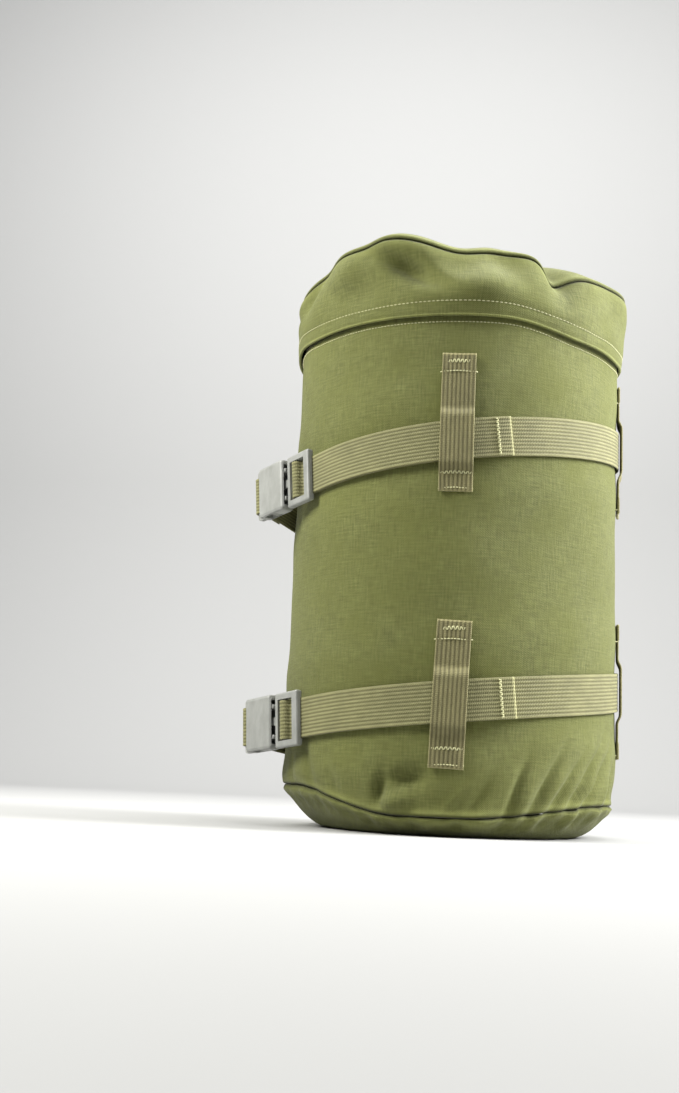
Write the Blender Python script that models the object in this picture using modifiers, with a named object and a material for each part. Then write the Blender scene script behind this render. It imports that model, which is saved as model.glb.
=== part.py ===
"""Stuff sack: a zip-lidded fabric drum with a flat back, two 25 mm straps and side-release buckles.

Metres, +Z up. The sack stands on its base with its axis on Z and its front facing -Y.
An azimuth is measured from the front towards +X.
"""

import math

import bmesh
import bpy
from mathutils import Matrix, Vector

# Driving dimensions of the sack
RADIUS = 0.110
CORNER_AZ = math.radians(138)
SEAM_Z = 0.013
ZIP_Z = 0.3255
FLAP_EDGE_Z = 0.319
LID_SEAM_Z = 0.367
TOP_Z = 0.3785
WALL = 0.0014
GAP = 0.0003
STEP_AZ = math.radians(6)

# Zip and lid
ZIP_END_AZ = math.radians(120)
FLAP_END_AZ = math.radians(104)
SLIDER_AZ = math.radians(114)
TAPE_REACH = 0.012
TAPE_DEPTH = 0.0017
TEETH_HALF_GAP = 0.0006
TEETH_HEIGHT = 0.0016
FLAP_LIFT = 0.0030
HINGE_CLEARANCE = 0.0010

# Webbing
STRAP_WIDTH = 0.025
STRAP_T = 0.0013
LOW_LIFT = 0.0012
HIGH_LIFT = 0.0029
TAIL_AZ = math.radians(19)
KEEPER_WIDTH = 0.021
KEEPER_LENGTH = 0.088
KEEPER_LIFT = 0.0010
RIGHT_KEEPER_AZ = math.radians(84)

# Each strap: height at the front, rise per metre of arc, height of its front keeper's middle
STRAPS = {"upper": (0.239, 0.123, 0.2505), "lower": (0.079, 0.102, 0.0835)}

# Side-release buckle, in its own axes: u along the strap, v across it, w away from the sack.
# Its plane touches the drum at LEAVE_AZ, and RUN is how far the buckle hangs past that line.
LEAVE_AZ = math.radians(-48)
RUN = 0.042
PLANE_LIFT = 0.0048
LOW_W = LOW_LIFT - PLANE_LIFT
HIGH_W = HIGH_LIFT - PLANE_LIFT
BUCKLE_HALF_WIDTH = 0.0175
SLOT_HALF_WIDTH = 0.0132
SOCKET_MOUTH_U = 0.003
SOCKET_TAIL_U = -0.030
PLUG_END_U = 0.029
LADDER_BAR_U = 0.0135
TAIL_BAR_U = -0.0288
WEB_LOOP_RADIUS = 0.0030
PRONG_PIVOT = (0.0030, 0.0098)

BACK_Y = -RADIUS * math.cos(CORNER_AZ)
UP = Vector((0, 0, 1))

OLIVE = (0.165, 0.175, 0.070)
OLIVE_DARK = (0.115, 0.120, 0.050)
WEBBING = (0.200, 0.185, 0.095)
GREY = (0.260, 0.270, 0.230)
BRONZE = (0.120, 0.110, 0.070)


def clear_scene():
    for obj in list(bpy.data.objects):
        bpy.data.objects.remove(obj)


def new_collection(name):
    collection = bpy.data.collections.new(name)
    bpy.context.scene.collection.children.link(collection)
    return collection


def add_object(name, mesh, look, parent=None):
    """Puts a mesh in the model with its own material. look is (colour, roughness, metallic)."""
    colour, roughness, metallic = look
    obj = bpy.data.objects.new(name, mesh)
    parts.objects.link(obj)
    material = bpy.data.materials.new(name)
    material.use_nodes = True
    shader = material.node_tree.nodes["Principled BSDF"]
    shader.inputs["Base Color"].default_value = (*colour, 1)
    shader.inputs["Roughness"].default_value = roughness
    shader.inputs["Metallic"].default_value = metallic
    if not mesh.materials:
        mesh.materials.append(None)
    obj.material_slots[0].link = "OBJECT"
    obj.material_slots[0].material = material
    if parent:
        obj.parent = parent
    return obj


def add_axis(name, matrix):
    """An empty on a joint's axis, which carries the pieces that move about it."""
    empty = bpy.data.objects.new(name, None)
    empty.empty_display_size = 0.02
    parts.objects.link(empty)
    empty.matrix_world = matrix
    return empty


def hang_on(obj, axis):
    """Parents an object modelled in world coordinates to an axis, without moving it."""
    obj.parent = axis
    obj.matrix_parent_inverse = axis.matrix_world.inverted()


def at(azimuth, radius, z):
    return Vector((radius * math.sin(azimuth), -radius * math.cos(azimuth), z))


def around(azimuth):
    return Vector((math.cos(azimuth), math.sin(azimuth), 0))


def spread(low, high, step):
    """Evenly spaced values from low to high, about a step apart."""
    count = max(1, math.ceil(abs(high - low) / step))
    return [low + (high - low) * i / count for i in range(count + 1)]


def ease(value):
    value = min(1, max(0, value))
    return value * value * (3 - 2 * value)


def surface_mesh(name, rows, ring=False, cap=None):
    """A quad surface through rows of points, which can close round and end in a flat cap."""
    mesh = bpy.data.meshes.new(name)
    bm = bmesh.new()
    grid = [[bm.verts.new(point) for point in row] for row in rows]
    columns = len(rows[0])
    for low, high in zip(grid, grid[1:]):
        for i in range(columns if ring else columns - 1):
            j = (i + 1) % columns
            bm.faces.new((low[i], low[j], high[j], high[i]))
    if cap == "first":
        bm.faces.new(reversed(grid[0]))
    if cap == "last":
        bm.faces.new(grid[-1])
    bm.to_mesh(mesh)
    bm.free()
    mesh.shade_smooth()
    mesh.set_sharp_from_angle(angle=math.radians(35))
    return mesh


def add_shell(name, rows, thickness, look, ring=False, cap=None, offset=-1):
    """A surface given a thickness: inwards from it, or half each way when offset is 0."""
    obj = add_object(name, surface_mesh(name, rows, ring, cap), look)
    solidify = obj.modifiers.new("thickness", "SOLIDIFY")
    solidify.thickness = thickness
    solidify.offset = offset
    solidify.use_even_offset = True
    return obj


def add_box(name, low, high, look):
    low, high = Vector(low), Vector(high)
    mesh = bpy.data.meshes.new(name)
    bm = bmesh.new()
    size = Matrix.Diagonal((*(high - low), 1))
    bmesh.ops.create_cube(bm, size=1, matrix=Matrix.Translation((low + high) / 2) @ size)
    bm.to_mesh(mesh)
    bm.free()
    return add_object(name, mesh, look)


def arc_band(name, profile, end_az, look, thickness=WALL, start_az=None):
    """A band round the drum's arc. profile is a list of (radius, z), bottom to top."""
    start_az = -end_az if start_az is None else start_az
    azimuths = spread(start_az, end_az, STEP_AZ)
    rows = [[at(azimuth, radius, z) for azimuth in azimuths] for radius, z in profile]
    return add_shell(name, rows, thickness, look)


def drum_outline(inset, z):
    """The D-shaped section: the arc from corner to corner and the flat back, going anticlockwise."""
    radius, back = RADIUS - inset, BACK_Y - inset
    corner = math.acos(-back / radius)
    arc = [at(azimuth, radius, z) for azimuth in spread(-corner, corner, 2 * corner / 44)]
    back_points = [arc[-1].lerp(arc[0], i / 8) for i in range(1, 8)]
    return arc + back_points


# Sack body

def make_front_panel():
    """The drum wall. It stops short of the zip, and reaches the hinge line behind the zip's ends."""
    azimuths = spread(-CORNER_AZ, CORNER_AZ, STEP_AZ)

    def top(azimuth):
        past_zip = (abs(azimuth) - ZIP_END_AZ) / math.radians(2)
        short, full = ZIP_Z - 0.0055, ZIP_Z - HINGE_CLEARANCE
        return short + (full - short) * ease(past_zip)

    levels = (0, 0.25, 0.5, 0.75, 1)
    rows = [[at(a, RADIUS, SEAM_Z + (top(a) - SEAM_Z) * level) for a in azimuths] for level in levels]
    return add_shell("front_panel", rows, WALL, (OLIVE, 0.85, 0))


def back_corner_x():
    return (RADIUS - WALL) * math.sin(CORNER_AZ) - GAP


def make_back_panel():
    x = back_corner_x()
    add_box(
        "back_panel",
        (-x, BACK_Y - WALL, SEAM_Z),
        (x, BACK_Y, ZIP_Z - HINGE_CLEARANCE),
        (OLIVE, 0.85, 0),
    )


def make_base_panel():
    """The base bulges below its seam to the flat patch that the sack stands on."""
    rim_z = SEAM_Z - GAP
    profile = [(0.027, 0), (0.018, 0.0010), (0.009, 0.0035), (0.003, 0.0075), (0, 0.0105), (0, rim_z)]
    rows = [drum_outline(inset, z) for inset, z in profile]
    add_shell("base_panel", rows, WALL, (OLIVE, 0.85, 0), ring=True, cap="first")


def make_inner_bindings():
    """Tapes that bind the raw seam edges inside the sack."""
    radius = RADIUS - WALL - GAP
    arc_band(
        "base_seam_binding",
        [(radius, SEAM_Z + 0.002), (radius, SEAM_Z + 0.012)],
        CORNER_AZ - math.radians(6),
        (OLIVE_DARK, 0.8, 0),
        thickness=0.0010,
    )
    for side, sign in (("left", -1), ("right", 1)):
        edges = sorted((sign * (CORNER_AZ - math.radians(8)), sign * (CORNER_AZ - math.radians(1.5))))
        arc_band(
            side + "_seam_binding",
            [(radius, SEAM_Z + 0.016), (radius, ZIP_Z - 0.018)],
            edges[1],
            (OLIVE_DARK, 0.8, 0),
            thickness=0.0010,
            start_az=edges[0],
        )


# Zip

def make_zip_tapes_and_teeth():
    """Two tapes behind the openings' edges, each carrying a row of teeth. The slider's web runs between."""
    tape_radius = RADIUS - TAPE_DEPTH
    teeth_radius = RADIUS - 0.0012
    teeth_edge = TEETH_HALF_GAP + TEETH_HEIGHT
    made = {}
    for side, sign in (("lower", -1), ("upper", 1)):
        tape = sorted(ZIP_Z + sign * d for d in (teeth_edge + GAP, TAPE_REACH))
        teeth = sorted(ZIP_Z + sign * d for d in (TEETH_HALF_GAP, teeth_edge))
        made[side + "_zip_tape"] = arc_band(
            side + "_zip_tape",
            [(tape_radius, z) for z in tape],
            ZIP_END_AZ,
            (OLIVE_DARK, 0.8, 0),
            thickness=0.0009,
        )
        made[side + "_zip_teeth"] = arc_band(
            side + "_zip_teeth",
            [(teeth_radius, z) for z in teeth],
            ZIP_END_AZ - math.radians(1),
            (BRONZE, 0.45, 0),
            thickness=0.0019,
        )
    return made


def make_zip_stops():
    """Small blocks that end the slider's travel, one past each end of the teeth."""
    for side, sign in (("left", -1), ("right", 1)):
        edges = sorted(sign * (ZIP_END_AZ + math.radians(d)) for d in (-0.7, 0.6))
        arc_band(
            side + "_zip_stop",
            [(RADIUS - 0.0002, ZIP_Z - 0.0044), (RADIUS - 0.0002, ZIP_Z - 0.0008)],
            edges[1],
            (BRONZE, 0.35, 0.6),
            thickness=0.0014,
            start_az=edges[0],
        )


def slider_matrix():
    """Axes of the slider at rest: x round the drum, y up, z outwards, origin on the drum's surface."""
    azimuth = -SLIDER_AZ
    outward = at(azimuth, 1, 0)
    rotation = Matrix((around(azimuth), UP, outward)).transposed()
    return Matrix.Translation(at(azimuth, RADIUS, ZIP_Z)) @ rotation.to_4x4()


def solid_mesh(name, base, joined=(), cuts=(), bevel=0.0):
    """A mesh made from a box with boxes joined to it and cut from it. A box is (low, high)."""
    obj = add_box(name, *base, (GREY, 0.5, 0))
    if bevel:
        rounding = obj.modifiers.new("rounding", "BEVEL")
        rounding.width = bevel
        rounding.segments = 2
    helpers = []
    for operation, boxes in (("UNION", joined), ("DIFFERENCE", cuts)):
        for low, high in boxes:
            helper = add_box(name + "_tool", low, high, (GREY, 0.5, 0))
            boolean = obj.modifiers.new(operation.lower(), "BOOLEAN")
            boolean.operation = operation
            boolean.object = helper
            helpers.append(helper)
    bpy.context.view_layer.update()
    evaluated = obj.evaluated_get(bpy.context.evaluated_depsgraph_get())
    mesh = bpy.data.meshes.new_from_object(evaluated)
    mesh.name = name
    mesh.materials.clear()
    for helper in [obj, *helpers]:
        bpy.data.objects.remove(helper)
    mesh.shade_smooth()
    mesh.set_sharp_from_angle(angle=math.radians(35))
    return mesh


def make_slider_and_pull():
    slider_axis = add_axis("zip_slider_axis", Matrix.Translation((0, 0, ZIP_Z)))
    matrix = slider_matrix()
    mesh = solid_mesh(
        "zip_slider",
        ((-0.0065, -0.0048, -0.0010), (0.0065, 0.0048, 0.0000)),
        joined=[
            ((-0.0065, -0.0048, -0.0052), (0.0065, 0.0048, -0.0042)),
            ((-0.0060, -0.00025, -0.0050), (-0.0020, 0.00025, -0.0002)),
            ((-0.0020, 0.0010, -0.0004), (-0.0012, 0.0026, 0.0012)),
            ((0.0012, 0.0010, -0.0004), (0.0020, 0.0026, 0.0012)),
        ],
    )
    mesh.transform(matrix)
    hang_on(add_object("zip_slider", mesh, (BRONZE, 0.35, 0.7)), slider_axis)

    pull_axis = add_axis("zip_pull_axis", matrix @ Matrix.Translation((0, 0.0018, 0.0009)))
    hang_on(pull_axis, slider_axis)
    pull_mesh = solid_mesh(
        "zip_pull",
        ((-0.0035, -0.0240, -0.0004), (0.0035, -0.0030, 0.0004)),
        joined=[((-0.0009, -0.0040, -0.0004), (0.0009, 0.0004, 0.0004))],
        cuts=[((-0.0020, -0.0215, -0.002), (0.0020, -0.0150, 0.002))],
    )
    add_object("zip_pull", pull_mesh, (BRONZE, 0.35, 0.7), parent=pull_axis)


# Lid

def make_lid(zip_pieces):
    hinge_y = BACK_Y + GAP
    axis = add_axis("lid_hinge_axis", Matrix.Translation((0, hinge_y, ZIP_Z)))
    skirt_end = CORNER_AZ - math.radians(2)
    azimuths = spread(-skirt_end, skirt_end, STEP_AZ)

    def hem(azimuth):
        past_flap = (abs(azimuth) - FLAP_END_AZ) / math.radians(4)
        covered, clear = FLAP_EDGE_Z, ZIP_Z + 0.0040
        return covered + (clear - covered) * ease(past_flap)

    top = LID_SEAM_Z - GAP
    rows = [
        [at(a, RADIUS + FLAP_LIFT, hem(a) + (top - hem(a)) * level) for a in azimuths]
        for level in (0, 0.34, 0.67, 1)
    ]
    skirt = add_shell("lid_skirt", rows, WALL, (OLIVE, 0.85, 0))

    x = back_corner_x()
    band = add_box(
        "lid_back_band",
        (-x, BACK_Y - WALL, ZIP_Z + HINGE_CLEARANCE),
        (x, BACK_Y, top),
        (OLIVE, 0.85, 0),
    )

    rise = TOP_Z - LID_SEAM_Z
    rim = -FLAP_LIFT
    profile = [(rim, 0), (rim, 0.14), (0.004, 0.42), (0.016, 0.70), (0.034, 0.91), (0.056, 1)]
    rows = [drum_outline(inset, LID_SEAM_Z + rise * share) for inset, share in profile]
    top_panel = add_shell("lid_top_panel", rows, WALL, (OLIVE, 0.85, 0), ring=True, cap="last")

    inner = RADIUS + FLAP_LIFT - WALL - GAP
    binding = arc_band(
        "lid_seam_binding",
        [(inner, LID_SEAM_Z - 0.011), (inner, LID_SEAM_Z - 0.002)],
        CORNER_AZ - math.radians(6),
        (OLIVE_DARK, 0.8, 0),
        thickness=0.0010,
    )
    pieces = [skirt, band, top_panel, binding, zip_pieces["upper_zip_tape"], zip_pieces["upper_zip_teeth"]]
    for piece in pieces:
        hang_on(piece, axis)


def make_hinge_tape():
    """The fabric hinge: a tape inside, sewn to the back panel below and the lid's back band above."""
    x, y = 0.062, BACK_Y - WALL - GAP
    add_box(
        "lid_hinge_tape",
        (-x, y - 0.0009, ZIP_Z - TAPE_REACH),
        (x, y, ZIP_Z + TAPE_REACH),
        (OLIVE_DARK, 0.8, 0),
    )


# Webbing

def strap_point(strap, azimuth, lift):
    """A strap's centre on the drum, and the direction across it."""
    front_z, rise, _ = STRAPS[strap]
    tilt = math.atan(rise)
    centre = at(azimuth, RADIUS + lift, front_z + rise * RADIUS * azimuth)
    return centre, UP * math.cos(tilt) - around(azimuth) * math.sin(tilt)


def buckle_matrix(strap):
    """Axes u, v, w of a strap's buckle, which hangs off the drum's left side where the strap leaves it."""
    centre, across = strap_point(strap, LEAVE_AZ, PLANE_LIFT)
    outward = at(LEAVE_AZ, 1, 0)
    along = across.cross(outward)
    rotation = Matrix((along, across, outward)).transposed()
    return Matrix.Translation(centre - along * RUN) @ rotation.to_4x4()


def in_buckle(strap, points):
    matrix = buckle_matrix(strap)
    across = matrix.to_3x3() @ Vector((0, 1, 0))
    return [(matrix @ Vector((u, 0, w)), across) for u, w in points]


def loop_points(bar_u, radius, first, last):
    """Half a turn round a bar, as (u, w)."""
    angles = [math.radians(first + (last - first) * i / 6) for i in range(7)]
    return [(bar_u + radius * math.cos(a), radius * math.sin(a)) for a in angles]


def add_ribbon(name, stations, width, thickness, look):
    rows = [[centre - across * width / 2 for centre, across in stations]]
    rows.append([centre + across * width / 2 for centre, across in stations])
    return add_shell(name, rows, thickness, look, offset=0)


def make_strap(strap):
    """From the right rear seam round the front, over the ladder bar, and back to the hemmed free end."""
    free_us = (0.020, 0.027, 0.034)
    low_azimuths = spread(CORNER_AZ - math.radians(1.5), LEAVE_AZ, STEP_AZ)
    stations = [strap_point(strap, azimuth, LOW_LIFT) for azimuth in low_azimuths]
    stations += in_buckle(strap, [(u, LOW_W) for u in reversed(free_us)])
    up = [(0.0140, -0.0036), (0.0119, -0.0030), (0.0108, -0.0016)]
    down = [(0.0167, -0.0011), (0.0180, -0.0018)]
    stations += in_buckle(strap, up + loop_points(LADDER_BAR_U, 0.0029, 180, 0) + down)
    stations += in_buckle(strap, [(u, HIGH_W) for u in free_us])
    stations += [strap_point(strap, azimuth, HIGH_LIFT) for azimuth in spread(LEAVE_AZ, TAIL_AZ, STEP_AZ)]
    add_ribbon(strap + "_strap", stations, STRAP_WIDTH, STRAP_T, (WEBBING, 0.8, 0))


def web_leg(strap, out, first, last, count):
    """Stations from the socket's tail bar towards the drum, a distance out from the web's middle line."""
    bar_reach = RUN - TAIL_BAR_U
    bar_radius = math.hypot(RADIUS + PLANE_LIFT, bar_reach)
    touch_radius = RADIUS + LOW_LIFT + WEB_LOOP_RADIUS
    bend = math.atan(bar_reach / (RADIUS + PLANE_LIFT)) + math.acos(touch_radius / bar_radius)
    length = math.sqrt(bar_radius**2 - touch_radius**2)
    matrix = buckle_matrix(strap)
    bar_across = matrix.to_3x3() @ Vector((0, 1, 0))
    away = Vector((-math.cos(bend), 0, -math.sin(bend)))
    outward = Vector((-math.sin(bend), 0, math.cos(bend)))
    bar = Vector((TAIL_BAR_U, 0, 0))

    def near(distance):
        return matrix @ (bar + away * distance + outward * out)

    touch, touch_across = strap_point(strap, LEAVE_AZ - bend, LOW_LIFT + WEB_LOOP_RADIUS + out)
    correction = touch - near(length)
    stations = []
    for i in range(count):
        distance = first + (last - first) * i / (count - 1)
        share = max(distance, 0) / length
        across = bar_across.lerp(touch_across, share).normalized()
        stations.append((near(distance) + correction * share, across))
    return stations, LEAVE_AZ - bend, length


def make_anchor_web(strap):
    """The short web from the left rear seam, sewn back on itself round the socket's tail bar."""
    radius = WEB_LOOP_RADIUS
    _, touch_az, length = web_leg(strap, -radius, 0, 0.01, 2)
    leg, _, _ = web_leg(strap, -radius, length * 0.93, 0.003, 7)
    azimuths = spread(math.radians(1.5) - CORNER_AZ, touch_az, STEP_AZ)
    stations = [strap_point(strap, azimuth, LOW_LIFT) for azimuth in azimuths] + leg
    for i in range(9):
        angle = math.radians(-90 + 180 * i / 8)
        out, back = radius * math.sin(angle), -radius * math.cos(angle)
        stations += web_leg(strap, out, back, back + 0.01, 2)[0][:1]
    for distance, out in ((0.0032, 0.0023), (0.0062, 0.0003)):
        stations += web_leg(strap, out, distance, distance + 0.01, 2)[0][:1]
    stations += web_leg(strap, -0.0011, 0.0095, 0.0245, 4)[0]
    add_ribbon(strap + "_anchor_web", stations, STRAP_WIDTH, STRAP_T, (WEBBING, 0.8, 0))


def make_keeper(name, azimuth, middle_z, strap_z, arch_lift):
    """A loop of webbing sewn flat at both ends, arched over the strap that runs through it."""
    bottom = middle_z - KEEPER_LENGTH / 2
    ramp, half_strap = 0.007, STRAP_WIDTH / 2 + 0.0025
    stations = []
    for i in range(25):
        z = bottom + KEEPER_LENGTH * i / 24
        lift = arch_lift * ease((half_strap + ramp - abs(z - strap_z)) / ramp)
        stations.append((at(azimuth, RADIUS + KEEPER_LIFT + lift, z), around(azimuth)))
    add_ribbon(name, stations, KEEPER_WIDTH, STRAP_T, (OLIVE_DARK, 0.8, 0))


def make_keepers():
    for strap, (front_z, rise, middle_z) in STRAPS.items():
        make_keeper(strap + "_front_keeper", 0, middle_z, front_z, HIGH_LIFT + 0.0010)
        right_z = front_z + rise * RADIUS * RIGHT_KEEPER_AZ
        make_keeper(strap + "_right_keeper", RIGHT_KEEPER_AZ, right_z, right_z, LOW_LIFT + 0.0008)


# Buckles

def plug_mesh():
    """The male half: a ladder-lock frame for the strap and a tongue that guides it into the socket."""
    half, slot = BUCKLE_HALF_WIDTH, SLOT_HALF_WIDTH
    return solid_mesh(
        "buckle_plug",
        ((0.0052, -half, -0.0025), (PLUG_END_U, half, 0.0025)),
        joined=[
            ((-0.0170, -0.0026, -0.0015), (0.0060, 0.0026, 0.0015)),
        ],
        cuts=[
            ((0.0086, -slot, -0.004), (0.0122, slot, 0.004)),
            ((0.0148, -slot, -0.004), (0.0240, slot, 0.004)),
            ((0.0115, -slot, 0.0013), (0.0155, slot, 0.004)),
            ((0.0115, -slot, -0.004), (0.0155, slot, -0.0013)),
            ((0.0230, -slot, -0.004), (0.0310, slot, -0.0009)),
        ],
        bevel=0.0012,
    )


def socket_mesh():
    """The female half: a hollow housing open at its mouth, with windows for the prongs' heads."""
    half, slot = BUCKLE_HALF_WIDTH, SLOT_HALF_WIDTH
    return solid_mesh(
        "buckle_socket",
        ((SOCKET_TAIL_U, -half, -0.0052), (SOCKET_MOUTH_U, half, 0.0052)),
        cuts=[
            ((-0.0215, -0.0142, -0.0034), (0.0060, 0.0142, 0.0034)),
            ((-0.0200, -0.0200, -0.0034), (-0.0078, 0.0200, 0.0034)),
            ((-0.0320, -0.0200, 0.0016), (-0.0236, 0.0200, 0.0080)),
            ((-0.0320, -0.0200, -0.0080), (-0.0236, 0.0200, -0.0016)),
            ((-0.0276, -slot, -0.0040), (-0.0240, slot, 0.0040)),
        ],
        bevel=0.0020,
    )


def prong_mesh(side):
    """One spring arm with its barbed head, seen in the plane of u and v from the pivot at its root."""
    outline = [
        (-0.0045, 0.0012), (-0.0112, 0.0020), (-0.0114, 0.0068), (-0.0150, 0.0078), (-0.0200, 0.0046),
        (-0.0222, 0.0010), (-0.0180, -0.0006), (-0.0110, -0.0014), (-0.0045, -0.0014),
    ]
    root = [(0.0014 * math.sin(t), -0.0014 * math.cos(t)) for t in (0.4, 1.2, 2.0, 2.8)]
    curve = bpy.data.curves.new("prong_outline", "CURVE")
    curve.dimensions = "2D"
    curve.fill_mode = "BOTH"
    curve.extrude = 0.0028
    points = outline + root
    spline = curve.splines.new("POLY")
    spline.points.add(len(points) - 1)
    for point, (u, v) in zip(spline.points, points):
        point.co = (u, side * v, 0, 1)
    spline.use_cyclic_u = True
    guide = bpy.data.objects.new("prong_outline", curve)
    parts.objects.link(guide)
    bpy.context.view_layer.update()
    evaluated = guide.evaluated_get(bpy.context.evaluated_depsgraph_get())
    mesh = bpy.data.meshes.new_from_object(evaluated)
    bpy.data.objects.remove(guide)
    bm = bmesh.new()
    bm.from_mesh(mesh)
    bmesh.ops.remove_doubles(bm, verts=bm.verts, dist=0.00001)
    bmesh.ops.recalc_face_normals(bm, faces=bm.faces)
    bm.to_mesh(mesh)
    bm.free()
    return mesh


def make_buckles():
    plug, socket = plug_mesh(), socket_mesh()
    prongs = {"lower": prong_mesh(-1), "upper": prong_mesh(1)}
    pivot_u, pivot_v = PRONG_PIVOT
    look = (GREY, 0.5, 0)
    for strap in STRAPS:
        matrix = buckle_matrix(strap)
        axis = add_axis(strap + "_buckle_axis", matrix)
        add_object(strap + "_buckle_plug", plug.copy(), look, parent=axis)
        add_object(strap + "_buckle_socket", socket.copy(), look, parent=axis)
        for place, sign in (("lower", -1), ("upper", 1)):
            name = f"{strap}_buckle_{place}_prong"
            prong = add_object(name, prongs[place].copy(), look, parent=axis)
            prong.location = (pivot_u, sign * pivot_v, 0)


clear_scene()
parts = new_collection("stuff_sack")
make_front_panel()
make_back_panel()
make_base_panel()
make_inner_bindings()
make_zip_stops()
make_lid(make_zip_tapes_and_teeth())
make_hinge_tape()
make_slider_and_pull()
for strap_name in STRAPS:
    make_strap(strap_name)
    make_anchor_web(strap_name)
make_keepers()
make_buckles()
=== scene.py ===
import math

import bmesh
import bpy
import numpy as np
from mathutils import Matrix, Vector


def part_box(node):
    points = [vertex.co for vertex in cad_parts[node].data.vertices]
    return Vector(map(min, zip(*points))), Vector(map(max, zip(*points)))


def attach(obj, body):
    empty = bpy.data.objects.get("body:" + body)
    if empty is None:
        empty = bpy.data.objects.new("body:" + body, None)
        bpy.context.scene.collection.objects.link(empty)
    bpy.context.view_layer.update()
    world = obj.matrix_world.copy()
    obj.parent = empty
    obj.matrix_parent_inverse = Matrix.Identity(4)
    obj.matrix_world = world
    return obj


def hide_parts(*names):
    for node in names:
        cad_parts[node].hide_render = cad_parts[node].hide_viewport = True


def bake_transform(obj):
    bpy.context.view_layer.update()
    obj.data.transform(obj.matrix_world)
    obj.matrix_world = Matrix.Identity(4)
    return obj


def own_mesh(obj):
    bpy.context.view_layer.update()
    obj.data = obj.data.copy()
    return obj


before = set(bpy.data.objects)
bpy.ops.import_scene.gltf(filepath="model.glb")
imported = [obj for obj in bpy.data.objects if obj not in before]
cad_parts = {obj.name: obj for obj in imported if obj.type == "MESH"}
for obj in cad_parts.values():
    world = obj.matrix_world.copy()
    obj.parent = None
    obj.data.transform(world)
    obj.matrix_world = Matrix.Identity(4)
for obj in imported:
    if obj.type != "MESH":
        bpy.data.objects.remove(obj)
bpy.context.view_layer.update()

# Sizes that follow the CAD frame, in metres
WALL_LO, WALL_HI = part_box("front_panel")
RADIUS = WALL_HI.x
BACK_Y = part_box("back_panel")[1].y
CORNER_AZ = math.acos(-BACK_Y / RADIUS)
SEAM_Z = WALL_LO.z
ZIP_Z = (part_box("lower_zip_teeth")[1].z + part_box("upper_zip_teeth")[0].z) / 2
FLAP_EDGE_Z, LID_SEAM_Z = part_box("lid_skirt")[0].z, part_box("lid_top_panel")[0].z
TOP_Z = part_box("lid_top_panel")[1].z
ZIP_END_AZ, FLAP_END_AZ = math.radians(119), math.radians(104)
STRAP_WIDTH, STRAP_T, KEEPER_WIDTH, KEEPER_LENGTH = 0.025, 0.0013, 0.021, 0.088
STRAP_RIBS, KEEPER_RIBS = 11, 8
LOW_LIFT, HIGH_LIFT = 0.0012, 0.0029
RIGHT_KEEPER_AZ = math.radians(84)
STRAPS = {"upper": (0.239, 0.123, 0.2505), "lower": (0.079, 0.102, 0.0835)}
TAIL_AZ = {"upper": math.radians(17.5), "lower": math.radians(20)}
LEAVE_AZ, RUN, PLANE_LIFT = math.radians(-48), 0.042, 0.0048
LOW_W, HIGH_W, WEB_LOOP_RADIUS = LOW_LIFT - PLANE_LIFT, HIGH_LIFT - PLANE_LIFT, 0.0030
LADDER_BAR_U, TAIL_BAR_U = 0.0135, -0.0288
RELEASE = 0.024
CLOTH_T = 0.0009
FLAP_LIFT = 0.0028
TOPSTITCH_UP, ZIP_SEAM_DOWN = 0.0078, 0.0040  # stitch rows, from the hem
BACK_GAP = 0.0016  # from the zip line to each back panel, where the hinge bends
SELVAGE = 0.0006  # radius of the round edges of webbing
UP = np.array((0.0, 0.0, 1.0))


# Small maths

def ease(x):
    x = np.clip(x, 0, 1)
    return x * x * (3 - 2 * x)


def bell(x, width):
    return np.exp(-((x / width) ** 2))


def ripple(u, v, size, seed, count=8):
    """Smooth seeded unevenness of about one unit, with features of about that size."""
    rng = np.random.default_rng(seed)
    total = 0
    for _ in range(count):
        turn, phase = rng.uniform(0, 2 * math.pi, 2)
        wavelength = size * rng.uniform(0.8, 1.9)
        total = total + np.sin(2 * math.pi * (u * np.cos(turn) + v * np.sin(turn)) / wavelength + phase)
    return total / math.sqrt(count)


def levels(low, high, step, fine=0.0005, edge=0.004):
    """Values from low to high about a step apart, and finer near both ends."""
    ends = np.arange(0, edge, fine)
    count = max(2, int(round((high - low - 2 * edge) / step)) + 1)
    return np.concatenate((low + ends, np.linspace(low + edge, high - edge, count), high - ends[::-1]))


def seam_roll(distance, depth=0.0016, width=0.0024):
    """How far cloth turns in at a seam, by its distance from the seam."""
    near = np.clip(1 - distance / width, 0, 1)
    return -depth * (1 - np.sqrt(1 - near**2 + 1e-9))


def drum(azimuth, z, lift):
    radius = RADIUS + lift
    return np.stack(np.broadcast_arrays(radius * np.sin(azimuth), -radius * np.cos(azimuth), z), -1)


def around(azimuth):
    return np.array((math.cos(azimuth), math.sin(azimuth), 0.0))


def unit(vectors):
    return vectors / np.maximum(np.linalg.norm(vectors, axis=-1, keepdims=True), 1e-12)


# Meshes

def add_object(name, data):
    obj = bpy.data.objects.new(name, data)
    bpy.context.scene.collection.objects.link(obj)
    return obj


def add_piece(name, points, faces, uv=None, fields=None):
    """A mesh object with an optional flat map in metres and named values for each point."""
    mesh = bpy.data.meshes.new(name)
    mesh.from_pydata(points.tolist(), [], faces)
    loops = np.empty(len(mesh.loops), int)
    mesh.loops.foreach_get("vertex_index", loops)
    if uv is not None:
        layer = mesh.uv_layers.new(name="flat")
        layer.data.foreach_set("uv", uv[loops].astype(np.float32).ravel())
    for field, values in (fields or {}).items():
        attribute = mesh.attributes.new(field, "FLOAT", "POINT")
        attribute.data.foreach_set("value", np.asarray(values, np.float32).ravel())
    mesh.shade_smooth()
    return add_object(name, mesh)


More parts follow.
